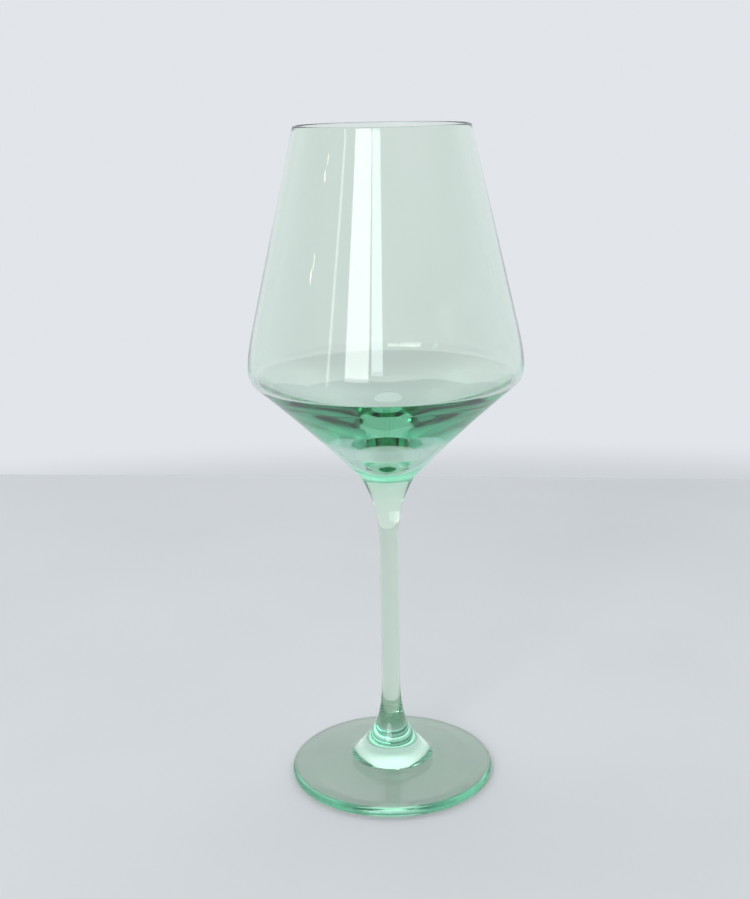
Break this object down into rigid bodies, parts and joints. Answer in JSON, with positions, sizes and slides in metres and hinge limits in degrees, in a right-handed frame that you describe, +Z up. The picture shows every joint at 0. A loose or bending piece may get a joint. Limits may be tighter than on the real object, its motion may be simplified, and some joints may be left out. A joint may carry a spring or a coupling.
{
  "type": "wine glass",
  "caption": "Tall stemmed wine glass: tapered bowl with a tight low shoulder and conical base, slim solid stem and thin round foot, in faintly green clear glass.",
  "frame": {"origin": "centre of the plane that the foot rests on", "axes": "+Z up along the axis of revolution, from the foot to the rim; +X and +Y lie in the resting plane and are alike"},
  "size_m": [0.0932, 0.0932, 0.23],
  "materials": {
    "bowl_glass": "blown and fire polished, clear with a faint green tint",
    "stem_glass": "drawn, smooth and clear with a faint green tint",
    "foot_glass": "pressed and fire polished, clear, with a green edge"
  },
  "bodies": {
    "root": {"bowl": "bowl_glass", "stem": "stem_glass", "foot": "foot_glass"}
  },
  "joints": []
}
